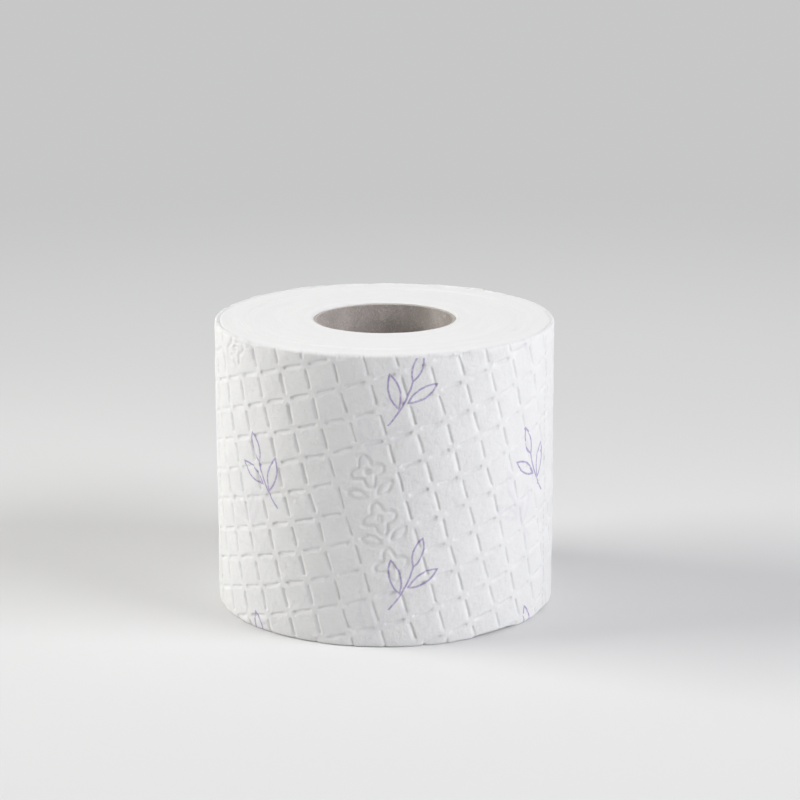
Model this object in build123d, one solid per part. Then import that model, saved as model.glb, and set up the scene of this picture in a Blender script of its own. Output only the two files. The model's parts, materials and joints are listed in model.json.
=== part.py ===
from build123d import *

import os

# A toilet paper roll, standing on one end.
#
# A long web of embossed tissue is wound on a stiff cardboard core. The turns are
# bonded to each other and to the core, so the winding is one solid. Its outside is
# a spiral: over the last turn the radius falls by the thickness of one sheet, so
# the loose end of the web makes a small step along the roll. The cut ends are flat,
# with soft, rounded outer edges. The core is a plain tube, cut flush with the web.
#
# Frame: the roll's axis is Z, and the origin is at the centre of the lower end.

# Driving dimensions, in millimetres and degrees.
WEB_WIDTH = 95.0  # length of the roll along its axis
ROLL_DIAMETER = 112.5  # twice the reach of the loose end from the axis
CORE_BORE = 45.0  # inner diameter of the cardboard tube
CORE_WALL = 1.0  # glued plies of board
SHEET_THICKNESS = 0.4  # embossed web, and so the step at the loose end
EDGE_ROUNDING = 1.0  # soft outer edge of each cut end
LOOSE_END_ANGLE = 52.0  # direction of the loose end, from +X towards +Y

# The outside is four quarter arcs in a row, each smaller than the one before.
QUARTERS = 4
QUARTER_TURN = 360.0 / QUARTERS

STANDING = (Align.CENTER, Align.CENTER, Align.MIN)


def quarter_winding(centre, radius, start_angle):
    """A quarter of the winding: its section, turned about the axis through centre."""
    turned_to_start = Location((centre.X, centre.Y, 0), (0, 0, start_angle))
    section_plane = Plane(turned_to_start * Location((0, 0, 0), (90, 0, 0)))
    flat_end = radius - EDGE_ROUNDING
    straight_top = WEB_WIDTH - EDGE_ROUNDING
    with BuildPart() as quarter:
        with BuildSketch(section_plane):
            with BuildLine():
                Line((0, 0), (flat_end, 0))
                RadiusArc((flat_end, 0), (radius, EDGE_ROUNDING), -EDGE_ROUNDING)
                Line((radius, EDGE_ROUNDING), (radius, straight_top))
                RadiusArc((radius, straight_top), (flat_end, WEB_WIDTH), -EDGE_ROUNDING)
                Line((flat_end, WEB_WIDTH), (0, WEB_WIDTH))
                Line((0, WEB_WIDTH), (0, 0))
            make_face()
        revolve(
            axis=Axis((centre.X, centre.Y, 0), (0, 0, 1)),
            revolution_arc=QUARTER_TURN,
        )
    return quarter.part


def tissue_winding():
    """All the turns of the web, from the core out to the loose end."""
    drop = SHEET_THICKNESS / QUARTERS
    start_angles = [LOOSE_END_ANGLE + QUARTER_TURN * turn for turn in range(QUARTERS)]
    directions = [Vector(1, 0, 0).rotate(Axis.Z, angle) for angle in start_angles]
    # The four centres stand on a small square about the roll's axis, and each
    # quarter's centre moves towards its end by as much as its radius falls.
    centre = (directions[1] + directions[2]) * (-drop / 2)
    radius = (ROLL_DIAMETER - drop) / 2
    quarters = []
    for turn in range(QUARTERS):
        quarters.append(quarter_winding(centre, radius, start_angles[turn]))
        centre = centre + directions[(turn + 1) % QUARTERS] * drop
        radius = radius - drop
    winding = quarters[0].fuse(*quarters[1:])
    core_seat = Cylinder(CORE_BORE / 2 + CORE_WALL, WEB_WIDTH, align=STANDING)
    return winding - core_seat


def cardboard_core():
    """The tube that the web is wound on, and that a holder's spindle goes through."""
    tube = Cylinder(CORE_BORE / 2 + CORE_WALL, WEB_WIDTH, align=STANDING)
    bore = Cylinder(CORE_BORE / 2, WEB_WIDTH, align=STANDING)
    return tube - bore


os.makedirs("parts", exist_ok=True)
export_step(tissue_winding(), "parts/tissue_winding.step")
export_step(cardboard_core(), "parts/cardboard_core.step")
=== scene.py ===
"""A quilted toilet paper roll, standing on its end.

The roll is modelled as it is made. One web of tissue is embossed flat, with short
pressed lines along the sides of slanted squares and a chain of pressed flowers here and
there, and then it is bent round into the outer turn. The cut ends show the edges of all
the turns, and the core is a spiral-wound tube of grey board.
"""

import json
import math

import bpy
import numpy as np
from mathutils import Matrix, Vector


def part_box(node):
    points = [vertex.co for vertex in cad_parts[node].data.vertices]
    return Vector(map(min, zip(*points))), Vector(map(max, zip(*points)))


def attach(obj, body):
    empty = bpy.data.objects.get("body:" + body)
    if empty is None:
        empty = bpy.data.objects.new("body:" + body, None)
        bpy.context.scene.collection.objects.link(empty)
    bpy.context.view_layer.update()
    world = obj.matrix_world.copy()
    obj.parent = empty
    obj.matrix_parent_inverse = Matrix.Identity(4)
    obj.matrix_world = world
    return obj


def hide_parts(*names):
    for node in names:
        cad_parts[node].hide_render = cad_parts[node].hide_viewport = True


bl_info = {
    "name": "Quilted Toilet Roll",
    "version": (1, 0, 0),
    "blender": (4, 5, 0),
    "location": "View3D > Sidebar > Toilet Roll",
    "description": "Models a quilted toilet paper roll on its cardboard core",
    "category": "Add Mesh",
}

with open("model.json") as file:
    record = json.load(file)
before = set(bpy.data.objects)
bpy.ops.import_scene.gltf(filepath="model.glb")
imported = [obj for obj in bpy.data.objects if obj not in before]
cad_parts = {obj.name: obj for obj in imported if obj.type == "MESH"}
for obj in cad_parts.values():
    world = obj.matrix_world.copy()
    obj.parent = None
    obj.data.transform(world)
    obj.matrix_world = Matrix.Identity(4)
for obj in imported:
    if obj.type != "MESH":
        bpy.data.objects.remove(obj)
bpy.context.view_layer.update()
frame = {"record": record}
MM = 0.001

# The frame gives the roll's sizes.
WINDING_LOW, WINDING_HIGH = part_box("tissue_winding")
CORE_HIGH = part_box("cardboard_core")[1]
BORE = next(m for m in frame["record"]["mounts"] if m["name"] == "spindle_bore")
ROLL_HEIGHT = WINDING_HIGH.z - WINDING_LOW.z
TURN_RADIUS = (WINDING_HIGH.x - WINDING_LOW.x) / 2
CORE_RADIUS = CORE_HIGH.x
BORE_RADIUS = BORE["dims"]["r_mm"] * MM
WEB_LENGTH = 2 * math.pi * TURN_RADIUS  # of the outer turn, laid flat
FULL_TURN = 2 * math.pi

# Places that the settings don't change.
LIFTED_LENGTH = 11 * MM  # of the loose end, along the web
POCKET_DEPTH = 3 * MM  # the gap under the loose end, along the web
TORN_EDGE = 0.12 * MM
RAGGED = 0.5 * MM  # how far the torn edge wanders
RIM_LOOPS = 5
# Swells over the whole outer turn: size and height.
SWELLS = ((26 * MM, 0.6 * MM), (8 * MM, 0.34 * MM), (2.8 * MM, 0.16 * MM))
# Creases in the outer turn, in mm along it from the front and up: from, to, and width.
CREASES = (
    ((26, 93.6), (35, 90.2), 3.0),
    ((22, 92.6), (27, 93.8), 2.0),
    ((47, 91.0), (53, 88.0), 3.5),
)
CREASE_DEPTH = 0.55 * MM
# Where the lower rim begins to lift, is lifted, begins to come down, and is down again.
LIFTED_RIM = (math.radians(14), math.radians(30), math.radians(62), 1.4)
RIM_LIFT = 0.9 * MM
LIFT_HEIGHT = 9 * MM  # up to which the lower rim's lift is felt
END_STEPS = 160
CORE_STEPS = 96
SEAM_HALF = 0.35 * MM


# --- Settings ------------


def length_of(name, description, default):
    """A setting that is a length, with its default in mm."""
    return bpy.props.FloatProperty(
        name=name, description=description, default=default * MM, unit="LENGTH"
    )


def lengths_of(name, description, default):
    """A setting that is two lengths, with their defaults in mm."""
    default = tuple(part * MM for part in default)
    return bpy.props.FloatVectorProperty(
        name=name, description=description, size=2, default=default, unit="LENGTH"
    )


def angle_of(name, description, default):
    """A setting that is an angle, with its default in degrees."""
    return bpy.props.FloatProperty(
        name=name, description=description, default=math.radians(default), subtype="ANGLE"
    )


def count_of(name, description, default, least):
    """A setting that is a whole number."""
    return bpy.props.IntProperty(name=name, description=description, default=default, min=least)


def colour_of(name, description, default):
    """A setting that is a colour."""
    return bpy.props.FloatVectorProperty(
        name=name, description=description, subtype="COLOR", default=default
    )


class QuiltSettings(bpy.types.PropertyGroup):
    """The embossing of the outer turn."""

    squares_round: count_of("Squares Round", "Squares along one row, on the way once round", 35, 4)
    rows_climbed: count_of("Rows Climbed", "Rows that such a row climbs, which slants it", 10, 0)
    origin: lengths_of("Origin", "A corner of the squares, from the front and up", (-1.2, 77.7))
    line_length: length_of("Line Length", "Length of a pressed line", 6.3)
    line_width: length_of("Line Width", "Width of a pressed line", 0.98)
    line_depth: length_of("Line Depth", "Depth of a pressed line", 0.55)
    pillow: length_of("Pillow", "Height of a square's middle above its sides", 0.07)
    flower_depth: length_of("Flower Depth", "Depth of the flowers' lines", 0.42)


class WebSettings(bpy.types.PropertyGroup):
    """The web of tissue and how it is wound."""

    sheet: length_of("Sheet", "Thickness of the embossed web", 0.4)
    rounding: length_of("Rounding", "Soft outer edge of each end", 1.0)
    loose_end: angle_of("Loose End", "Direction of the web's loose end, from the front", 142)
    loose_lift: length_of("Loose Lift", "How far the loose end stands off", 0.85)
    sheet_length: length_of("Sheet Length", "Distance between two rows of perforations", 140)


class PrintSettings(bpy.types.PropertyGroup):
    """The printed sprigs."""

    ink: colour_of("Ink", "Colour of the lines", (0.29, 0.20, 0.50))
    line: length_of("Line", "Width of a printed line", 0.6)
    spacing: lengths_of("Spacing", "Distance between sprigs along and across the web", (50, 60))
    lean: angle_of("Lean", "Lean of every other sprig", 24)


class CoreSettings(bpy.types.PropertyGroup):
    """The cardboard tube."""

    seam_pitch: length_of("Seam Pitch", "Rise of the ply's seam in one turn", 88)
    seam_depth: length_of("Seam Depth", "Depth of the open seam", 0.22)
    recess: length_of("Recess", "Depth of its rims below the tissue", 0.7)
    board: colour_of("Board", "Colour of the board", (0.57, 0.52, 0.49))


SETTINGS = {
    "roll_quilt": QuiltSettings,
    "roll_web": WebSettings,
    "roll_print": PrintSettings,
    "roll_core": CoreSettings,
}


# --- Modelling by hand ------------


def deselect_everything():
    """Leaves edit mode and drops the selection, which operators act on as a whole."""
    if bpy.context.mode != "OBJECT":
        bpy.ops.object.mode_set(mode="OBJECT")
    bpy.ops.object.select_all(action="DESELECT")


def activate(piece):
    """Makes one piece the selected, active object."""
    deselect_everything()
    piece.select_set(True)
    bpy.context.view_layer.objects.active = piece


def name_new(name):
    """Names the object that a primitive has just added, and its mesh."""
    piece = bpy.context.active_object
    piece.name = name
    piece.data.name = name
    return piece


def settle(piece):
    """Puts the piece's place in its mesh."""
    activate(piece)
    bpy.ops.object.transform_apply(location=True, rotation=True, scale=True)


def places(piece):
    """The vertices' places, as an array of rows."""
    flat = np.empty(len(piece.data.vertices) * 3, np.float32)
    piece.data.vertices.foreach_get("co", flat)
    return flat.reshape(-1, 3).astype(float)


def edge_ends(piece):
    """The two vertices of each edge, as an array of rows."""
    ends = np.empty(len(piece.data.edges) * 2, np.int32)
    piece.data.edges.foreach_get("vertices", ends)
    return ends.reshape(-1, 2)


def edit(piece, vertices=None, edges=None):
    """Opens the piece in edit mode with these vertices or edges selected, or all of it."""
    activate(piece)
    by_edge = edges is not None
    bpy.context.tool_settings.mesh_select_mode = (not by_edge, by_edge, False)
    bpy.ops.object.mode_set(mode="EDIT")
    if vertices is None and edges is None:
        bpy.ops.mesh.select_all(action="SELECT")
        return
    bpy.ops.mesh.select_all(action="DESELECT")
    bpy.ops.object.mode_set(mode="OBJECT")
    if vertices is not None:
        piece.data.vertices.foreach_set("select", vertices)
        edges = vertices[edge_ends(piece)].all(1)
    piece.data.edges.foreach_set("select", edges)
    bpy.ops.object.mode_set(mode="EDIT")


def close_edit():
    """Back to object mode."""
    bpy.ops.object.mode_set(mode="OBJECT")


def move_all(piece, value):
    """Moves the whole mesh."""
    edit(piece)
    bpy.ops.transform.translate(value=value)
    close_edit()


def cut(piece, place, normal, drop_outer=False):
    """Cuts the piece with a plane, and may drop what lies past it."""
    edit(piece)
    bpy.ops.mesh.bisect(plane_co=place, plane_no=normal, clear_outer=drop_outer, threshold=1e-7)
    close_edit()


def trim(piece, axis, low, high):
    """Cuts the piece off below and above two places along an axis."""
    for level, outwards in ((low, -1), (high, 1)):
        cut(piece, axis * level, axis * outwards, drop_outer=True)


def bridge(piece, **chosen):
    """Joins the loops among these vertices or edges with faces."""
    edit(piece, **chosen)
    bpy.ops.mesh.bridge_edge_loops()
    close_edit()


def scale_selected(*value):
    """Scales what is selected, from the origin."""
    bpy.ops.transform.resize(value=value, center_override=(0, 0, 0))


def extrude_by(value):
    """Extrudes what is selected, and moves it."""
    bpy.ops.mesh.extrude_region_move(TRANSFORM_OT_translate={"value": value})


def extrude_ring(rise, share):
    """Extrudes the selected ring upwards, and scales it towards the roll's axis."""
    extrude_by((0, 0, rise))
    scale_selected(share, share, 1)


def apply_modifier(piece, kind, **values):
    """Adds a modifier with these values and applies it."""
    activate(piece)
    modifier = piece.modifiers.new(kind.title(), kind)
    for name, value in values.items():
        setattr(modifier, name, value)
    bpy.ops.object.modifier_apply(modifier=modifier.name)


def press(piece, name, weights, depth, direction="Y"):
    """Moves each vertex by its weight's share of depth, through a vertex group."""
    group = piece.vertex_groups.new(name=name)
    for index in np.flatnonzero(weights > 0.001):
        group.add([int(index)], float(weights[index]), "REPLACE")
    apply_modifier(
        piece, "DISPLACE", strength=depth, mid_level=0.0, direction=direction, vertex_group=name
    )
    piece.vertex_groups.remove(piece.vertex_groups[name])


def crumple(piece, size, height, direction="NORMAL"):
    """Uneven swells of about this size, height from lowest to highest."""
    texture = bpy.data.textures.new("swell", "CLOUDS")
    texture.noise_scale = size
    texture.noise_depth = 2
    swell = {"texture": texture, "texture_coords": "LOCAL", "strength": height, "mid_level": 0.5}
    apply_modifier(piece, "DISPLACE", direction=direction, **swell)
    bpy.data.textures.remove(texture)


def smooth_shade(piece, angle=None):
    """Smooth shading, with edges sharper than angle kept sharp."""
    activate(piece)
    if angle is None:
        bpy.ops.object.shade_smooth()
    else:
        bpy.ops.object.shade_smooth_by_angle(angle=angle)


def tidy_mesh(piece):
    """Merges doubles and turns all faces outwards."""
    edit(piece)
    bpy.ops.mesh.remove_doubles(threshold=1e-6)
    bpy.ops.mesh.normals_make_consistent(inside=False)
    close_edit()


def open_edges(piece, chosen):
    """Which edges have only one face and both ends among the chosen vertices."""
    used = np.empty(len(piece.data.loops), np.int32)
    piece.data.loops.foreach_get("edge_index", used)
    uses = np.bincount(used, minlength=len(piece.data.edges))
    return (uses == 1) & chosen[edge_ends(piece)].all(1)


def ease(x, low, high):
    """Rises smoothly from 0 at low to 1 at high."""
    t = np.clip((x - low) / (high - low), 0, 1)
    return t * t * (3 - 2 * t)


def rippled(place, middle, *ripples):
    """middle with waves along place: each has a height, a length in mm and a phase."""
    return sum((high * np.sin(place / (far * MM) + phase) for high, far, phase in ripples), middle)


# --- The quilting, flat ------------


class Lattice:
    """The slanted squares of the quilting, on the flat web, which faces -Y."""

    def __init__(self, quilt):
        round_, climb = quilt.squares_round, quilt.rows_climbed
        self.pitch = WEB_LENGTH / math.hypot(round_, climb)
        self.slant = slant = math.atan2(climb, round_)
        self.along = np.array([math.cos(slant), math.sin(slant)])
        self.across = np.array([-math.sin(slant), math.cos(slant)])
        self.origin = np.array(quilt.origin)

    def place(self, column, row):
        """Where the lattice's point (column, row) is on the web: along it, and up."""
        step = column * self.along + row * self.across
        return self.origin + self.pitch * step

    def squares(self, web):
        """Columns and rows of web places, counted from the lattice's origin."""
        offset = (web - self.origin) / self.pitch
        return offset @ self.along, offset @ self.across


def across_line(quilt):
    """Where a square's edge loops cross a pressed line, from its middle out."""
    half = quilt.line_width / 2
    return [0.0, 0.55 * half, 1.03 * half, 1.65 * half]


def edge_loops(quilt, pitch):
    """Distances of the edge loops from a square's side, up to the other side."""
    line_end = (pitch - quilt.line_length) / 2
    near = across_line(quilt)[1:] + [line_end + step * quilt.line_width for step in (-0.15, 0.12, 0.44)]
    near.sort()
    return near + [pitch / 2] + [pitch - step for step in reversed(near)]


def groove(distance, width):
    """How deep a pressed line is at this distance from its middle, from 0 to 1."""
    return 1 - ease(distance, 0.07 * width, 0.76 * width)


def quilt_square(quilt, lattice, corner):
    """One embossed square, with half of a pressed line along each side."""
    pitch = lattice.pitch
    middle = corner + pitch / 2 * (lattice.along + lattice.across)
    deselect_everything()
    bpy.ops.mesh.primitive_plane_add(
        size=pitch, location=(middle[0], 0, middle[1]), rotation=(math.pi / 2, -lattice.slant, 0)
    )
    square = name_new("quilted_turn")
    settle(square)
    for direction in (lattice.along, lattice.across):
        for step in edge_loops(quilt, pitch):
            place = corner + step * direction
            cut(square, (place[0], 0, place[1]), (direction[0], 0, direction[1]))
    offset = places(square)[:, (0, 2)] - corner
    column, row = offset @ lattice.along, offset @ lattice.across
    pressed = np.zeros(len(offset))
    for sideways, lengthways, waist, end in ((column, row, 0.9, 1.0), (row, column, 0.15, 1.35)):
        # The first side of a line is steep, and the other is broad.
        off_line = np.minimum(1.2 * sideways, 0.7 * (pitch - sideways))
        straight = (quilt.line_length - quilt.line_width) / 2
        from_middle = np.abs(lengthways - pitch / 2)
        past_end = np.maximum(from_middle - straight, 0)
        depth = waist + (end - waist) * ease(from_middle, 0.5 * straight, straight)
        line = depth * groove(np.hypot(off_line, past_end), quilt.line_width)
        pressed = np.maximum(pressed, line)
    swell = np.sin(math.pi * column / pitch) * np.sin(math.pi * row / pitch)
    slope = 1 - np.sqrt(np.clip(swell, 0, 1))
    press(square, "pillow", slope, quilt.pillow)
    press(square, "lines", pressed, quilt.line_depth)
    return square


def vary_depth(piece, quilt):
    """Makes some pressed lines shallower than others, as a worn press does."""
    at = places(piece)
    along, up = at[:, 0] / MM, at[:, 2] / MM
    uneven = np.sin(along / 3.1 + 1.3 * np.sin(up / 5.3)) * np.sin(up / 3.7 + np.sin(along / 7.9))
    pressed = np.clip(at[:, 1] / quilt.line_depth, 0, 1)
    press(piece, "shallow", pressed * (0.5 + 0.5 * uneven), -0.42 * quilt.line_depth)


def flat_web(quilt, web, lattice):
    """The outer turn laid flat, as long as the way round, between the two roundings."""
    start = web.loose_end * TURN_RADIUS
    low, high = web.rounding, ROLL_HEIGHT - web.rounding
    corners = np.array([(x, z) for x in (start, start + WEB_LENGTH) for z in (low, high)])
    columns, rows = lattice.squares(corners)
    first = (math.floor(columns.min()), math.floor(rows.min()))
    counts = (math.ceil(columns.max()) - first[0], math.ceil(rows.max()) - first[1])
    piece = quilt_square(quilt, lattice, lattice.place(*first))
    for direction, count in zip((lattice.along, lattice.across), counts):
        step = direction * lattice.pitch
        offset = {"use_constant_offset": True, "constant_offset_displace": (step[0], 0, step[1])}
        merged = {"use_merge_vertices": True, "merge_threshold": 1e-6}
        apply_modifier(piece, "ARRAY", count=count, use_relative_offset=False, **offset, **merged)
    for direction, size in (("X", 9 * MM), ("Z", 7 * MM)):
        crumple(piece, size, 0.9 * MM, direction=direction)
    vary_depth(piece, quilt)
    trim(piece, Vector((1, 0, 0)), start, start + WEB_LENGTH)
    trim(piece, Vector((0, 0, 1)), low, high)
    return piece


# --- The pressed flowers ------------

FLOWER_COLUMNS = 2  # a chain's width and length, in squares
FLOWER_ROWS = 5
# The lower left corner of each chain of flowers, in squares from the lattice's origin.
FLOWER_CORNERS = ((-2, -6), (-6, 2), (10, -9), (21, -13), (17, -5))


def ring_of(radius, middle=(0, 0), points=72):
    """A closed line round middle, whose radius is a function of the direction."""
    turns = np.linspace(0, FULL_TURN, points + 1)
    reach = radius(turns)
    return np.stack([middle[0] + reach * np.cos(turns), middle[1] + reach * np.sin(turns)], 1)


def four_petals(middle, size):
    """A flower's outline: one closed line round four petals."""
    return ring_of(lambda turn: size * (0.76 + 0.24 * np.cos(4 * turn)), middle)


def leaf_line(base, direction, length, width):
    """A leaf's outline: out along one side and back along the other."""
    t = np.linspace(0, 1, 24)
    bulge = width / 2 * np.sin(math.pi * t) ** 0.8
    side = np.concatenate([np.stack([t * length, bulge], 1), np.stack([t * length, -bulge], 1)[::-1]])
    c, s = math.cos(direction), math.sin(direction)
    return np.array(base) + side @ np.array([[c, s], [-s, c]])


def flower_chain():
    """The lines of one chain, upright, about its middle: three flowers and their leaves."""
    lines = []
    gap = 15.6 * MM
    for step in (-1, 0, 1):
        middle = (0.6 * MM * step, step * gap)
        lines.append(four_petals(middle, 5.4 * MM))
        lines.append(ring_of(lambda turn: 0.7 * MM + 0 * turn, middle, points=12))
    for step in (-1, 1):
        for side in (-1, 1):
            base = (side * 1.6 * MM, step * gap / 2)
            turn = math.pi / 2 - side * math.radians(62)
            lines.append(leaf_line(base, turn, 6.4 * MM, 3.0 * MM))
    return lines


def distance_to_line(points, line):
    """Each point's distance from a line of straight steps."""
    nearest = np.full(len(points), np.inf)
    for start, end in zip(line[:-1], line[1:]):
        step = end - start
        along = np.clip((points - start) @ step / max(step @ step, 1e-18), 0, 1)
        nearest = np.minimum(nearest, np.linalg.norm(points - start - along[:, None] * step, axis=1))
    return nearest


def inside_chain(lattice, web, corner, margin):
    """Which web places are in the chain's field, margin or more from its sides."""
    columns, rows = lattice.squares(web)
    edge = margin / lattice.pitch
    column_in = (columns > corner[0] + edge) & (columns < corner[0] + FLOWER_COLUMNS - edge)
    row_in = (rows > corner[1] + edge) & (rows < corner[1] + FLOWER_ROWS - edge)
    return column_in & row_in


def press_flowers(piece, quilt, lattice):
    """Takes the squares' lines out of each chain's field and presses the flowers there."""
    border = 1.7 * quilt.line_width / 2
    web_start = places(piece)[:, 0].min()
    turn_on = np.array([quilt.squares_round, -quilt.rows_climbed])
    for corner in np.array(FLOWER_CORNERS):
        if lattice.place(*corner)[0] < web_start:
            corner = corner + turn_on  # the same place on the roll
        edit(piece, vertices=inside_chain(lattice, places(piece)[:, (0, 2)], corner, border))
        scale_selected(1, 0, 1)
        close_edit()
        first, second = places(piece)[edge_ends(piece).T]
        middle = (first + second)[:, (0, 2)] / 2
        long = np.linalg.norm(first - second, axis=1) > 1.2 * MM
        edit(piece, edges=long & inside_chain(lattice, middle, corner, border))
        bpy.ops.mesh.subdivide(number_cuts=4)
        close_edit()
        web = places(piece)[:, (0, 2)]
        field = np.flatnonzero(inside_chain(lattice, web, corner, border))
        centre = lattice.place(corner[0] + FLOWER_COLUMNS / 2, corner[1] + FLOWER_ROWS / 2)
        offset = web[field] - centre
        upright = np.stack([offset @ lattice.along, offset @ lattice.across], 1)
        weights = np.zeros(len(web))
        for line in flower_chain():
            depth = groove(distance_to_line(upright, line), 1.15 * MM)
            weights[field] = np.maximum(weights[field], depth)
        press(piece, "flowers", weights, quilt.flower_depth)


# --- Winding the web ------------


def map_web(piece, web):
    """A UV map that is the flat web: once along it and once up it."""
    start = web.loose_end * TURN_RADIUS
    layer = piece.data.uv_layers.new(name="web")
    corners = np.empty(len(piece.data.loops), np.int32)
    piece.data.loops.foreach_get("vertex_index", corners)
    at = places(piece)[corners]
    uv = np.stack([(at[:, 0] - start) / WEB_LENGTH, at[:, 2] / ROLL_HEIGHT], 1)
    layer.uv.foreach_set("vector", uv.astype(np.float32).ravel())


def group_selected(piece, name):
    """Keeps the vertices that an edit left selected in a group, to find them again."""
    close_edit()
    chosen = np.empty(len(piece.data.vertices), bool)
    piece.data.vertices.foreach_get("select", chosen)
    piece.vertex_groups.new(name=name).add(np.flatnonzero(chosen).tolist(), 1.0, "REPLACE")


def in_groups(piece, *names):
    """Which vertices are in any of these groups."""
    wanted = {piece.vertex_groups[name].index for name in names}
    return np.array([any(g.group in wanted for g in v.groups) for v in piece.data.vertices])


def make_loose_end(piece, web):
    """Lifts the loose end of the web off the turn below, with a thin edge over a pocket."""
    start = web.loose_end * TURN_RADIUS
    at = places(piece)
    wave = rippled(at[:, 2], 0.6, (0.25, 7, 0), (0.15, 2.3, 1))
    lift = (1 - ease(at[:, 0] - start, 0, LIFTED_LENGTH)) * wave
    press(piece, "lift", lift, -web.loose_lift)
    ragged = rippled(at[:, 2], 0.5, (0.3, 1.1, 0), (0.2, 0.37, 2))
    press(piece, "ragged", ragged * (at[:, 0] < start + 1e-6), -RAGGED, direction="X")
    edit(piece, edges=open_edges(piece, at[:, 0] > start + WEB_LENGTH - 1e-6))
    extrude_by((POCKET_DEPTH, 0, 0))
    group_selected(piece, "pocket_floor")
    edit(piece, edges=open_edges(piece, places(piece)[:, 0] < start + 1e-6))
    extrude_by((TORN_EDGE, 0.45 * web.sheet, 0))
    extrude_by((POCKET_DEPTH - TORN_EDGE, 0.15 * web.sheet, 0))
    group_selected(piece, "pocket_roof")


def slope_to_spiral(piece, web):
    """Leans the flat web by one sheet over its length, so that it bends into a spiral."""
    share = (places(piece)[:, 0] - web.loose_end * TURN_RADIUS) / WEB_LENGTH
    press(piece, "spiral", np.clip(share, 0, 1), web.sheet)
    move_all(piece, (0, -web.sheet / 2, 0))


def bend_round(piece):
    """Bends the flat web into the outer turn, with its origin at the front."""
    angle = FULL_TURN * (WEB_LENGTH + POCKET_DEPTH) / WEB_LENGTH
    apply_modifier(piece, "SIMPLE_DEFORM", deform_method="BEND", deform_axis="Z", angle=angle)
    move_all(piece, (0, -TURN_RADIUS, 0))


def close_pocket(piece):
    """Joins the loose end's underside to the turn below, deep in the pocket."""
    bridge(piece, vertices=in_groups(piece, "pocket_floor", "pocket_roof"))
    piece.vertex_groups.clear()


def turn_rim_in(piece, web, top):
    """Rounds one edge of the outer turn, and takes it down behind the turn."""
    rim = ROLL_HEIGHT - web.rounding if top else web.rounding
    up = 1 if top else -1
    angles = np.linspace(0, math.pi / 2, RIM_LOOPS)
    path = [(1 - math.cos(angle), math.sin(angle)) for angle in angles]
    path += [(1.6, 0.65), (2.2, 0.3)]  # past the rounding, down behind the turn
    edit(piece, edges=open_edges(piece, np.abs(places(piece)[:, 2] - rim) < 1e-6))
    for (inset, rise), (next_inset, next_rise) in zip(path[:-1], path[1:]):
        share = (TURN_RADIUS - web.rounding * next_inset) / (TURN_RADIUS - web.rounding * inset)
        extrude_ring(up * web.rounding * (next_rise - rise), share)
    group_selected(piece, "lip_above" if top else "lip_below")


def dent_rims(piece):
    """Handling marks: a crease below the upper rim, and a lower rim that lifts a little."""
    at = places(piece)
    angle = np.arctan2(at[:, 0], -at[:, 1])  # from the front
    unrolled = np.stack([angle * TURN_RADIUS, at[:, 2]], 1)
    on_top = at[:, 2] > ROLL_HEIGHT / 2
    for start, end, width in CREASES:
        line = [np.array(start) * MM, np.array(end) * MM]
        depth = groove(distance_to_line(unrolled, line), width * MM)
        press(piece, "crease", depth * on_top, -CREASE_DEPTH, direction="NORMAL")
    wave = 0.5 + 0.5 * np.sin(angle * 11 + 0.8 * np.sin(angle * 23))
    here = ease(angle, *LIFTED_RIM[:2]) * (1 - ease(angle, *LIFTED_RIM[2:]))
    height = 1 - ease(at[:, 2], 0, LIFT_HEIGHT)
    press(piece, "lifted", wave * here * height, RIM_LIFT, direction="Z")


def stand_flat(piece):
    """Flattens what the swells took below the roll's lower end."""
    edit(piece, vertices=places(piece)[:, 2] < 0)
    scale_selected(1, 1, 0)
    close_edit()


def quilted_turn(quilt, web):
    """The whole outer turn: embossed flat, wound round, and closed at its loose end."""
    lattice = Lattice(quilt)
    piece = flat_web(quilt, web, lattice)
    press_flowers(piece, quilt, lattice)
    make_loose_end(piece, web)
    map_web(piece, web)
    slope_to_spiral(piece, web)
    bend_round(piece)
    close_pocket(piece)
    turn_rim_in(piece, web, top=True)
    turn_rim_in(piece, web, top=False)
    bridge(piece, vertices=in_groups(piece, "lip_above", "lip_below"))
    piece.vertex_groups.clear()
    tidy_mesh(piece)
    dent_rims(piece)
    for size, height in SWELLS:
        crumple(piece, size, height)
    stand_flat(piece)
    smooth_shade(piece)
    return piece


# --- The cut ends and the core ------------


def upright_or_level_line(name, length, steps, level):
    """A line of vertices from the origin, along +X if level and up if not."""
    deselect_everything()
    half = length / 2
    bpy.ops.mesh.primitive_grid_add(
        x_subdivisions=steps,
        y_subdivisions=1,
        size=length,
        location=(half, half, 0) if level else (0, half, half),
        rotation=(0, 0, 0) if level else (0, -math.pi / 2, 0),
    )
    piece = name_new(name)
    settle(piece)
    edit(piece, vertices=places(piece)[:, 1] > half)
    bpy.ops.mesh.delete(type="VERT")
    close_edit()
    return piece


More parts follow.
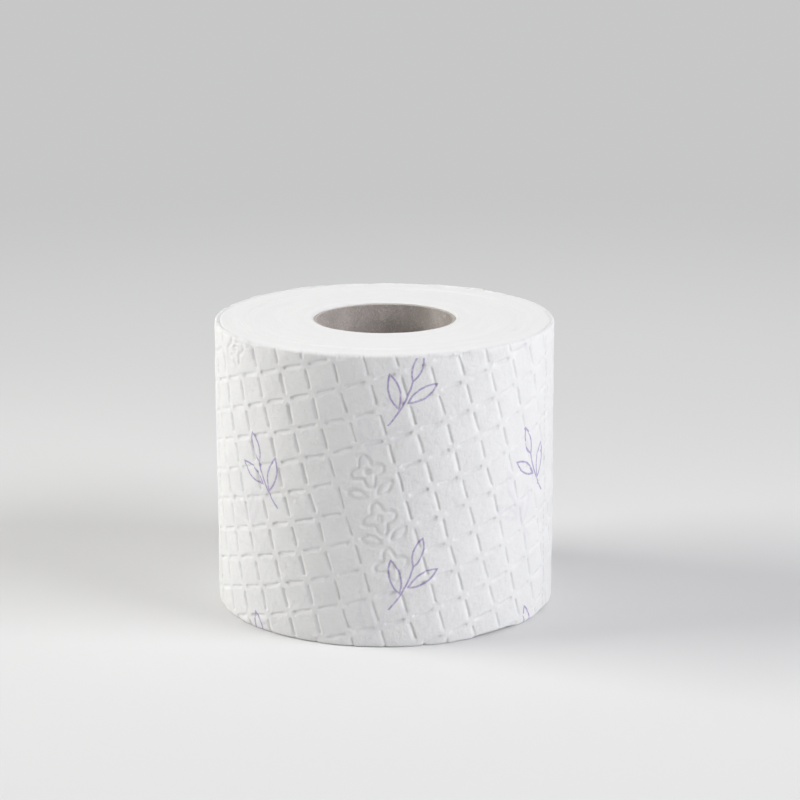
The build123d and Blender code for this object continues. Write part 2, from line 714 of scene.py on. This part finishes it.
def inner_turns(web):
    """All the turns inside the outer one, whose cut edges show at both ends."""
    inner, outer = CORE_RADIUS, TURN_RADIUS - 1.5 * web.rounding
    turns = round((outer - inner) / web.sheet)
    piece = upright_or_level_line("inner_turns", outer - inner, 2 * turns, level=True)
    move_all(piece, (inner, 0, ROLL_HEIGHT / 2 - 0.12 * MM))
    order = np.round((places(piece)[:, 0] - inner) / (outer - inner) * 2 * turns).astype(int)
    uneven = np.random.default_rng(7).uniform(0, 1, len(order))
    sunk = np.where(order % 2, 0.75 + 0.25 * uneven, 0.45 * uneven)
    press(piece, "turns", sunk, -0.10 * MM, direction="Z")
    radius = places(piece)[:, 0]
    press(piece, "edge", ease(radius, outer - 0.9 * MM, outer), -0.25 * MM, direction="Z")
    press(piece, "bore_edge", 1 - ease(radius, inner, inner + 0.7 * MM), -0.30 * MM, direction="Z")
    edit(piece)
    bpy.ops.mesh.spin(steps=END_STEPS, angle=FULL_TURN, center=(0, 0, 0), axis=(0, 0, 1))
    close_edit()
    tidy_mesh(piece)
    for direction in ("X", "Y"):
        crumple(piece, 11 * MM, 0.3 * MM, direction=direction)
    crumple(piece, 15 * MM, 0.24 * MM, direction="Z")
    apply_modifier(piece, "MIRROR", use_axis=(False, False, True), use_mirror_merge=False)
    for inside in (True, False):
        close_wall(piece, inner if inside else outer)
    tidy_mesh(piece)
    move_all(piece, (0, 0, ROLL_HEIGHT / 2))
    smooth_shade(piece, angle=math.radians(50))
    return piece


def close_wall(piece, radius):
    """Bridges the open loops of the two ends that lie near this radius."""
    at = places(piece)
    near = np.abs(np.hypot(at[:, 0], at[:, 1]) - radius) < 2 * MM
    bridge(piece, edges=open_edges(piece, near))


def spiral_core(core):
    """The tube of board: an inner ply with an open spiral seam, and cut rims."""
    pitch = core.seam_pitch
    piece = upright_or_level_line("spiral_core", pitch, 16, level=False)
    move_all(piece, (BORE_RADIUS, 0, -pitch))
    for lip in (-pitch + SEAM_HALF, -SEAM_HALF):
        cut(piece, (0, 0, lip), (0, 0, 1))
    height = places(piece)[:, 2]
    at_seam = (height > -1e-6) | (height < -pitch + 1e-6)
    press(piece, "seam", at_seam.astype(float), core.seam_depth, direction="X")
    winding = {"angle": FULL_TURN, "screw_offset": pitch, "iterations": 3, "steps": CORE_STEPS}
    merged = {"use_merge_vertices": True, "merge_threshold": 1e-6}
    apply_modifier(piece, "SCREW", render_steps=CORE_STEPS, **winding, **merged)
    tidy_mesh(piece)
    rim = 0.12 * MM
    low, high = core.recess + rim, ROLL_HEIGHT - core.recess - rim
    trim(piece, Vector((0, 0, 1)), low, high)
    profile = ((BORE_RADIUS + rim, rim), (CORE_RADIUS - rim, 0), (CORE_RADIUS, -rim))
    for top in (True, False):
        level = high if top else low
        edit(piece, edges=open_edges(piece, np.abs(places(piece)[:, 2] - level) < 1e-6))
        radius = BORE_RADIUS
        for next_radius, rise in profile:
            extrude_ring(rise if top else -rise, next_radius / radius)
            radius = next_radius
        close_edit()
    bridge(piece, edges=open_edges(piece, np.ones(len(piece.data.vertices), bool)))
    tidy_mesh(piece)
    crumple(piece, 14 * MM, 0.22 * MM)
    smooth_shade(piece, angle=math.radians(38))
    return piece


# --- Building materials from nodes ------------


class Signal:
    """A node's output. Arithmetic on it adds Math or Vector Math nodes to its tree."""

    def __init__(self, socket):
        self.socket = socket
        self.tree = socket.id_data

    def __add__(self, other):
        return calc("ADD", self, other)

    def __sub__(self, other):
        return calc("SUBTRACT", self, other)

    def __rsub__(self, other):
        return calc("SUBTRACT", other, self)

    def __mul__(self, other):
        return calc("MULTIPLY", self, other)

    def __truediv__(self, other):
        return calc("DIVIDE", self, other)

    def __rtruediv__(self, other):
        return calc("DIVIDE", other, self)

    def __abs__(self):
        return calc("ABSOLUTE", self)


def join(value, socket):
    """Links an output to an input, or sets the input to a plain value."""
    if isinstance(value, Signal):
        value.tree.links.new(value.socket, socket)
    else:
        socket.default_value = value


def fill(node, inputs):
    """Links or sets these inputs of a node."""
    for name, value in inputs.items():
        join(value, node.inputs[name])


def add_node(tree, kind, inputs, **settings):
    """A node with these settings, and these values or links on its inputs."""
    node = tree.nodes.new("ShaderNode" + kind)
    for name, value in settings.items():
        setattr(node, name, value)
    fill(node, inputs)
    return node


def source(tree, kind, output, **settings):
    """The output of a node that takes no input."""
    return Signal(add_node(tree, kind, {}, **settings).outputs[output])


def result(kind, inputs, output=0, **settings):
    """The output of a node, in the tree that its inputs come from."""
    tree = next(value.tree for value in inputs.values() if isinstance(value, Signal))
    return Signal(add_node(tree, kind, inputs, **settings).outputs[output])


def calc(operation, *values):
    """The output of a Math node, or of a Vector Math node if the values are vectors."""
    first = next(value for value in values if isinstance(value, Signal))
    kind = "Math" if first.socket.type == "VALUE" else "VectorMath"
    return result(kind, dict(enumerate(values)), operation=operation)


def noise(place, size, detail=2.0, roughness=0.5, distortion=0.0, output=0):
    """A Noise Texture whose spots are about this size, around 0.5."""
    inputs = {"Vector": place, "Scale": 1 / size, "Detail": detail, "Roughness": roughness}
    return result("TexNoise", {**inputs, "Distortion": distortion}, output)


def rising(value, low, high, bottom=0.0, top=1.0):
    """Rises smoothly from bottom at low to top at high."""
    inputs = {"Value": value, "From Min": low, "From Max": high, "To Min": bottom, "To Max": top}
    return result("MapRange", inputs, interpolation_type="SMOOTHSTEP")


def falling(value, low, high):
    """Falls smoothly from 1 at low to 0 at high."""
    return rising(value, low, high, 1.0, 0.0)


def blend(share, first, second):
    """A mix of two colours."""
    return result("Mix", {"Factor": share, 6: first, 7: second}, 2, data_type="RGBA")


def combined(x, y):
    """A vector of these two parts."""
    return result("CombineXYZ", {0: x, 1: y})


def parts(vector):
    """The three parts of a vector."""
    node = add_node(vector.tree, "SeparateXYZ", {0: vector})
    return [Signal(part) for part in node.outputs]


def turned(place, angle):
    """A place turned about the third axis."""
    return result("VectorRotate", {"Vector": place, "Angle": angle}, rotation_type="Z_AXIS")


def line_mask(distance, line):
    """1 on a line of this width and 0 past it, with a soft edge."""
    return falling(distance / line, 0.28, 0.74)


def new_group(name, vectors, numbers, outputs):
    """A node group: the group, its inputs inside by name, and its outputs inside."""
    group = bpy.data.node_groups.new(name, "ShaderNodeTree")
    sides = ((vectors, "INPUT", "Vector"), (numbers, "INPUT", "Float"), (outputs, "OUTPUT", "Float"))
    for labels, side, kind in sides:
        for label in labels:
            group.interface.new_socket(name=label, in_out=side, socket_type="NodeSocket" + kind)
    inside = {socket.name: Signal(socket) for socket in group.nodes.new("NodeGroupInput").outputs}
    return group, inside, group.nodes.new("NodeGroupOutput")


def use_group(group, place, **inputs):
    """Adds the group to the tree of its place. Returns its outputs by name."""
    node = add_node(place.tree, "Group", {"Place": place, **inputs}, node_tree=group)
    return {socket.name: Signal(socket) for socket in node.outputs}


def paper_grain():
    """Crepe ridges along the second axis, with loose fibres and cloudy tone."""
    name = "paper_grain"
    if name in bpy.data.node_groups:
        return bpy.data.node_groups[name]
    group, inside, outside = new_group(name, ("Place",), ("Crepe", "Fibre"), ("Height", "Tone"))
    place = inside["Place"]
    crepe = noise(place * (1, 0.16, 1), inside["Crepe"], roughness=0.6)
    fibres = noise(place, inside["Fibre"], detail=3.0, roughness=0.55, distortion=1.6)
    thread = falling(abs(fibres - 0.5), 0.0, 0.06)
    cloudy = noise(place, 9 * MM, detail=3.0)
    fill(outside, {"Height": crepe * 0.7 + thread * 0.3, "Tone": thread * 0.25 + cloudy * 0.75})
    return group


def leaf_outline():
    """The outline of one leaf, pointed at both ends: two arcs of a circle."""
    group, inside, outside = new_group(
        "leaf_outline", ("Place", "Middle"), ("Turn", "HalfLength", "HalfWidth", "Line"), ("Mask",)
    )
    x, y, _ = parts(turned(inside["Place"] - inside["Middle"], inside["Turn"] * -1))
    length, width = inside["HalfLength"], inside["HalfWidth"]
    radius = (length * length + width * width) / (width * 2)
    reach = abs(x) + (radius - width)
    from_side = abs(calc("SQRT", reach * reach + y * y) - radius)
    fill(outside, {"Mask": line_mask(from_side, inside["Line"])})
    return group


# The leaves of a sprig: middle, turn from upright in degrees, half length, half width.
SPRIG_LEAVES = (
    ((-4.4, -0.4), 38, 5.6, 1.75),
    ((4.1, 2.4), -35, 5.4, 1.65),
    ((-0.8, 9.6), 5, 4.8, 1.55),
)
# The stem's bend is how far it leaves a straight line at BEND_REACH from the middle.
BEND_REACH = 9.8 * MM
STEM_BEND = 1.5 * MM
STEM_HALF = BEND_REACH * 0.8
STEM_DROP = 3 * MM  # of the stem's middle below the sprig's
SHAKE = 0.5 * MM  # of the printed lines
POSITIVE = 100  # columns or rows added, to count from 0 up


def sprig_print():
    """Sprigs in a half-drop layout, leaning to each side in turn."""
    group, inside, outside = new_group(
        "sprig_print", ("Place",), ("Along", "Across", "Lean", "Line"), ("Mask",)
    )
    web, line = inside["Place"], inside["Line"]
    along, across = inside["Along"], inside["Across"]
    shaken = (noise(web, 4 * MM, output=1) - (0.5, 0.5, 0.5)) * (SHAKE, SHAKE, SHAKE)
    x, y, _ = parts(web + shaken)
    columns = x / along
    odd = calc("MODULO", calc("FLOOR", columns + POSITIVE), 2)
    rows = odd * 0.5 + y / across
    in_column = calc("FRACT", columns + POSITIVE) - 0.5
    in_row = calc("FRACT", rows + POSITIVE) - 0.5
    side = odd * -2 + 1
    place = turned(combined(in_column * along * side, in_row * across), inside["Lean"])
    x, y, _ = parts(place)
    bow = calc("POWER", y / BEND_REACH, 2) * STEM_BEND
    past_end = abs(y + STEM_DROP) - STEM_HALF
    mask = line_mask(calc("MAXIMUM", abs(bow + x), past_end), line)
    leaf = leaf_outline()
    for middle, turn, half_length, half_width in SPRIG_LEAVES:
        size = {"HalfLength": half_length * MM, "HalfWidth": half_width * MM}
        middle = (middle[0] * MM, middle[1] * MM, 0)
        outline = use_group(leaf, place, Middle=middle, Turn=math.radians(turn), Line=line, **size)
        mask = calc("MAXIMUM", mask, outline["Mask"])
    fill(outside, {"Mask": mask})
    return group


def new_material(name):
    """A material with an empty Principled shader. Returns it, its tree and the shader."""
    material = bpy.data.materials.new(name)
    material.use_nodes = True
    tree = material.node_tree
    return material, tree, tree.nodes["Principled BSDF"]


def raise_bumps(shader, *heights):
    """Bump nodes in a row, each with its height and how far it stands out."""
    bumped = {}
    for height, distance in heights:
        bump = result("Bump", {"Height": height, "Distance": distance, "Strength": 1.0, **bumped})
        bumped = {"Normal": bump}
    fill(shader, bumped)


def finish_paper(shader, colour, tone):
    """Soft white paper of this colour, with hardly any gloss."""
    inputs = {
        "Base Color": colour,
        "Roughness": rising(tone, 0.2, 0.8, 0.99, 0.90),
        "Specular IOR Level": 0.18,
        "Sheen Weight": 0.05,
        "Sheen Roughness": 0.6,
    }
    fill(shader, inputs)


def tinted(colour, share):
    """A colour made darker or lighter."""
    return tuple(share * part for part in colour[:3]) + (1,)


PAPER_WHITE = (0.885, 0.885, 0.882, 1)
PAPER_SHADE = (0.835, 0.835, 0.835, 1)
# Painted shade for the perforations' cuts: the grey that they are darkened with.
SLIT_PAINTED_SHADE = (0.45, 0.45, 0.45, 1)
SLIT_WIDTH = 0.34 * MM
SLIT_PITCH = 2.5 * MM
EDGE_INK = (0.52, 0.42, 0.72, 1)  # what the print leaves on the cut ends
INK_COVER = 0.74
PRINT_SHIFT = (4 * MM, 8 * MM, 0)  # of the print on the web
LOWER_SHIFT = (13 * MM, 21 * MM, 0)  # of the print that shows through from the turn below
SHOW_THROUGH = 0.05


def printed_tissue(web, prints):
    """Creped white tissue with a pale printed pattern and rows of perforations, whose cuts are darkened
    with painted shade.
    """
    material, tree, shader = new_material("printed_tissue")
    place = source(tree, "UVMap", 0, uv_map="web") * (WEB_LENGTH, ROLL_HEIGHT, 0)
    x, y, _ = parts(place)
    grain = use_group(paper_grain(), place, Crepe=0.42 * MM, Fibre=0.9 * MM)
    paper = blend(rising(grain["Tone"], 0.3, 0.75), PAPER_SHADE, PAPER_WHITE)
    layout = {"Along": prints.spacing[0], "Across": prints.spacing[1], "Lean": prints.lean}
    sprigs = sprig_print()
    shown = use_group(sprigs, place + PRINT_SHIFT, Line=prints.line, **layout)["Mask"]
    below = use_group(sprigs, place + LOWER_SHIFT, Line=2.2 * prints.line, **layout)["Mask"]
    patchy = rising(noise(place, 1.3 * MM, detail=4.0, roughness=0.7), 0.3, 0.6, 0.55, 1.0)
    below_rim = falling(y, ROLL_HEIGHT - 1.3 * MM, ROLL_HEIGHT - MM)
    cover = calc("MAXIMUM", shown * patchy * INK_COVER * below_rim, below * SHOW_THROUGH)
    inked = blend(cover, paper, (*prints.ink, 1))
    in_row = line_mask(calc("PINGPONG", x, web.sheet_length / 2), SLIT_WIDTH)
    slit = falling(calc("PINGPONG", y, SLIT_PITCH / 2), 0.68 * MM, 0.8 * MM)
    perforated = in_row * slit
    # The perforations' cuts get painted shade, a darker grey, and also a dent in the bump.
    finish_paper(shader, blend(perforated * 0.35, inked, SLIT_PAINTED_SHADE), grain["Tone"])
    puckers = noise(place, 2.3 * MM)
    raise_bumps(
        shader, (puckers, 0.30 * MM), (grain["Height"], 0.11 * MM), (1 - perforated, 0.2 * MM)
    )
    return material


def cut_tissue():
    """The cut edges of many turns: pale, with faint rings and streaks of ink."""
    material, tree, shader = new_material("cut_tissue")
    place = source(tree, "TexCoord", "Object")
    x, y, _ = parts(place)
    turn = calc("ARCTAN2", y, x)
    ring_at = calc("SQRT", x * x + y * y) + noise(place, 14 * MM) * (1.6 * MM)
    rings = combined(ring_at, turn * (1.2 * MM))
    fine = noise(rings, 0.42 * MM, detail=3.0, roughness=0.75)
    tone = fine * 0.6 + noise(rings, 2.6 * MM) * 0.4
    paper = blend(rising(tone, 0.35, 0.62), tinted(PAPER_WHITE, 0.965), PAPER_WHITE)
    ink_at = combined(ring_at * 5, turn * (9 * MM))
    streaks = rising(noise(ink_at, 2.4 * MM, detail=3.0), 0.6, 0.78)
    finish_paper(shader, blend(streaks * 0.10, paper, EDGE_INK), tone)
    fuzz = noise(place, 0.55 * MM, detail=4.0, roughness=0.7)
    raise_bumps(shader, (fine, 0.05 * MM), (fuzz, 0.12 * MM))
    return material


SPECK = (0.10, 0.085, 0.075, 1)
PULP = (0.56, 0.52, 0.475, 1)


def grey_board(core):
    """Recycled board: mottled, with specks, a spiral seam and paler cut rims."""
    material, tree, shader = new_material("grey_board")
    place = source(tree, "TexCoord", "Object")
    x, y, height = parts(place)
    turn = calc("ARCTAN2", y, x)
    flat = combined(turn * BORE_RADIUS, height)
    grain = use_group(paper_grain(), place, Crepe=0.8 * MM, Fibre=1.6 * MM)
    dark = tinted(core.board, 0.74)
    board = blend(rising(grain["Tone"], 0.25, 0.75), dark, tinted(core.board, 1.15))
    specks = rising(noise(flat, 0.8 * MM, detail=1.0), 0.68, 0.76)
    board = blend(specks * 0.5, board, SPECK)
    climb = height - turn * (core.seam_pitch / FULL_TURN)
    seam = line_mask(calc("PINGPONG", climb, core.seam_pitch / 2), 4 * SEAM_HALF)
    board = blend(seam * 0.45, board, dark)
    top = ROLL_HEIGHT - core.recess
    above = rising(height, top - 0.2 * MM, top - 0.08 * MM)
    under = falling(height, core.recess + 0.08 * MM, core.recess + 0.2 * MM)
    inputs = {
        "Base Color": blend(calc("MAXIMUM", above, under) * 0.8, board, PULP),
        "Roughness": rising(grain["Tone"], 0.2, 0.8, 0.94, 0.80),
        "Specular IOR Level": 0.25,
    }
    fill(shader, inputs)
    raise_bumps(shader, (grain["Height"], 0.22 * MM))
    return material


FLOOR = (0.75, 0.75, 0.75, 1)
# Painted light on the floor: it glows for the camera, from this lighter grey near the roll to the
# background grey far off.
PAINTED_LIGHT_NEAR = (0.69, 0.69, 0.69, 1)
BACKGROUND = (0.572, 0.572, 0.576, 1)


def pale_floor():
    """A smooth matt floor. Away from the roll it glows for the camera with painted light, lighter
    nearer the roll and darker further off, and fades into the background.
    """
    material, tree, shader = new_material("pale_floor")
    x, y, _ = parts(source(tree, "TexCoord", "Object"))
    away = calc("SQRT", x * x + y * y)
    fill(shader, {"Base Color": FLOOR, "Roughness": 0.9, "Specular IOR Level": 0.1})
    # Painted light: the floor glows for the camera, lighter near the roll as if lit there, and darker
    # further off.
    colour = blend(rising(away, 0.2, 0.85), PAINTED_LIGHT_NEAR, BACKGROUND)
    painted_glow = result("Emission", {"Color": colour})
    share = rising(away, 0.16, 0.42) * source(tree, "LightPath", "Is Camera Ray")
    mixed = result("MixShader", {0: share, 1: Signal(shader.outputs[0]), 2: painted_glow})
    join(mixed, tree.nodes["Material Output"].inputs["Surface"])
    return material


# --- The stage ------------

LOOK_AT = Vector((4.96 * MM, 0, 66.6 * MM))
CAMERA_AWAY = 0.7875
CAMERA_HEIGHT = math.radians(14.33)
CAMERA_TILT = math.radians(-0.1)
CAMERA_LENS = 106.6  # mm, on a sensor 36 mm wide
ROOM_LIGHT = 0.14
# Name, angle from the front, height angle, distance, width, watts, colour.
LAMPS = (
    ("right_softbox", 65, 28, 1.3, 0.75, 13.5, (0.962, 0.962, 1.0)),
    ("left_softbox", -93, 28, 1.3, 0.75, 14.3, (1.0, 0.992, 0.962)),
)
OVERHEAD_STRENGTH = 0.55
OVERHEAD_SPREAD = math.radians(60)


def around(angle, height_angle, away):
    """A place round the object, with the angle counted from the front."""
    level = math.cos(height_angle) * away
    side = Vector((math.sin(angle) * level, -math.cos(angle) * level, math.sin(height_angle) * away))
    return LOOK_AT + side


def aim(thing, place):
    """Puts a lamp or camera at a place, looking at the roll."""
    thing.location = place
    thing.rotation_euler = (LOOK_AT - place).to_track_quat("-Z", "Y").to_euler()


def softbox(name, angle, height_angle, away, width, watts, colour):
    """A large square lamp that faces the roll."""
    bpy.ops.object.light_add(type="AREA")
    lamp = bpy.context.active_object
    lamp.name = name
    lamp.data.shape = "SQUARE"
    lamp.data.size = width
    lamp.data.energy = watts
    lamp.data.color = colour
    aim(lamp, around(math.radians(angle), math.radians(height_angle), away))


def lay_floor():
    """A wide floor at the height of the roll's lower end."""
    deselect_everything()
    bpy.ops.mesh.primitive_plane_add(size=16, location=(0, 0, 0))
    floor = name_new("floor")
    edit(floor)
    bpy.ops.mesh.subdivide(number_cuts=7)
    close_edit()
    floor.data.materials.append(pale_floor())


def light_room():
    """A dim even room, two softboxes and a broad overhead light."""
    for lamp in LAMPS:
        softbox(*lamp)
    bpy.ops.object.light_add(type="SUN", location=(0, 0, 1.5))
    overhead = bpy.context.active_object
    overhead.name = "overhead"
    overhead.data.energy = OVERHEAD_STRENGTH
    overhead.data.angle = OVERHEAD_SPREAD
    world = bpy.data.worlds.new("room")
    bpy.context.scene.world = world
    world.use_nodes = True
    tree = world.node_tree
    seen = source(tree, "LightPath", "Is Camera Ray")
    plain = (ROOM_LIGHT, ROOM_LIGHT, ROOM_LIGHT, 1)
    fill(tree.nodes["Background"], {"Color": blend(seen, plain, BACKGROUND)})


def set_camera():
    """The camera, a little above the roll and far enough for a flat view."""
    bpy.ops.object.camera_add()
    camera = bpy.context.active_object
    camera.name = "camera"
    camera.data.lens = CAMERA_LENS
    camera.data.sensor_width = 36
    aim(camera, around(0, CAMERA_HEIGHT, CAMERA_AWAY))
    camera.rotation_euler.rotate_axis("Z", CAMERA_TILT)
    camera.data.clip_start = 0.05
    camera.data.clip_end = 60
    bpy.context.scene.camera = camera


# --- Operators and panel ------------


def finish_piece(piece, material, node):
    """Gives a piece its material, parents it to the root body, and hides the frame's part that it takes
    the place of.
    """
    piece.data.materials.clear()
    piece.data.materials.append(material)
    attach(piece, "root")
    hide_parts(node)


class AddOuterTurn(bpy.types.Operator):
    """Adds the embossed, printed outer turn of the tissue."""

    bl_idname = "toilet_roll.add_outer_turn"
    bl_label = "Add Outer Turn"
    bl_options = {"REGISTER", "UNDO"}

    def execute(self, context):
        scene = context.scene
        piece = quilted_turn(scene.roll_quilt, scene.roll_web)
        tissue = printed_tissue(scene.roll_web, scene.roll_print)
        finish_piece(piece, tissue, "tissue_winding")
        return {"FINISHED"}


class AddInnerTurns(bpy.types.Operator):
    """Adds the turns inside the outer one, whose cut edges show at both ends."""

    bl_idname = "toilet_roll.add_inner_turns"
    bl_label = "Add Inner Turns"
    bl_options = {"REGISTER", "UNDO"}

    def execute(self, context):
        web = context.scene.roll_web
        finish_piece(inner_turns(web), cut_tissue(), "tissue_winding")
        return {"FINISHED"}


class AddCore(bpy.types.Operator):
    """Adds the spiral-wound board core."""

    bl_idname = "toilet_roll.add_core"
    bl_label = "Add Core"
    bl_options = {"REGISTER", "UNDO"}

    def execute(self, context):
        core = context.scene.roll_core
        finish_piece(spiral_core(core), grey_board(core), "cardboard_core")
        return {"FINISHED"}


class SetStage(bpy.types.Operator):
    """Adds the floor, the lamps and the camera."""

    bl_idname = "toilet_roll.set_stage"
    bl_label = "Set Stage"
    bl_options = {"REGISTER", "UNDO"}

    def execute(self, context):
        lay_floor()
        light_room()
        set_camera()
        context.scene.view_settings.view_transform = "Standard"
        return {"FINISHED"}


OPERATORS = (AddOuterTurn, AddInnerTurns, AddCore, SetStage)


class ToiletRollPanel(bpy.types.Panel):
    """Lists the roll's settings and its pieces."""

    bl_idname = "VIEW3D_PT_toilet_roll"
    bl_label = "Toilet Roll"
    bl_space_type = "VIEW_3D"
    bl_region_type = "UI"
    bl_category = "Toilet Roll"

    def draw(self, context):
        for name, kind in SETTINGS.items():
            box = self.layout.box()
            box.label(text=kind.bl_rna.name)
            group = getattr(context.scene, name)
            for setting in kind.__annotations__:
                box.prop(group, setting)
        for operator in OPERATORS:
            self.layout.operator(operator.bl_idname)


def register():
    """Registers the settings, the operators and the panel."""
    for name, kind in SETTINGS.items():
        bpy.utils.register_class(kind)
        setattr(bpy.types.Scene, name, bpy.props.PointerProperty(type=kind))
    for kind in (*OPERATORS, ToiletRollPanel):
        bpy.utils.register_class(kind)


def unregister():
    """Takes them out again."""
    for kind in (ToiletRollPanel, *reversed(OPERATORS)):
        bpy.utils.unregister_class(kind)
    for name, kind in reversed(SETTINGS.items()):
        delattr(bpy.types.Scene, name)
        bpy.utils.unregister_class(kind)


def main():
    """Makes the whole scene."""
    register()
    bpy.ops.toilet_roll.add_outer_turn()
    bpy.ops.toilet_roll.add_inner_turns()
    bpy.ops.toilet_roll.add_core()
    bpy.ops.toilet_roll.set_stage()


if __name__ == "__main__":
    main()
